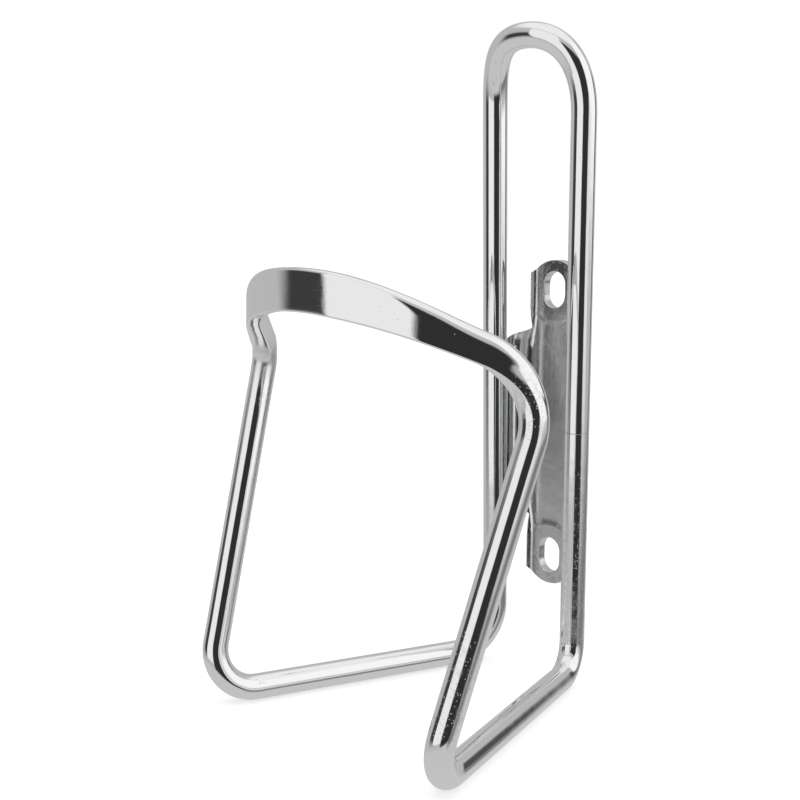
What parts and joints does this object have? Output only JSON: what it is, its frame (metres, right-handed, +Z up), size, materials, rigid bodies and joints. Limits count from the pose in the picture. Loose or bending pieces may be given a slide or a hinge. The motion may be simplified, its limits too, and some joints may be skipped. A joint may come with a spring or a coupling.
{
  "type": "water bottle cage",
  "caption": "Bent aluminium tube cage that grips a drinks bottle, with a slotted plate behind it that bolts to a bicycle frame.",
  "frame": {"origin": "centre of the mounting plate's rear face, midway between the bolt slots", "axes": "+Z up along the bottle, +Y from the bottle towards the bicycle frame, +X to the right seen from the bottle"},
  "size_m": [0.0877, 0.0821, 0.1509],
  "materials": {
    "tube": "polished",
    "plate": "tumbled and polished",
    "weld": "as welded",
    "pin": "mill finish"
  },
  "bodies": {
    "root": {"bent_tube": "tube", "joint_pin": "pin", "mounting_plate": "plate", "weld_bead_upper_left": "weld", "weld_bead_upper_right": "weld", "weld_bead_lower_left": "weld", "weld_bead_lower_right": "weld"}
  },
  "joints": []
}
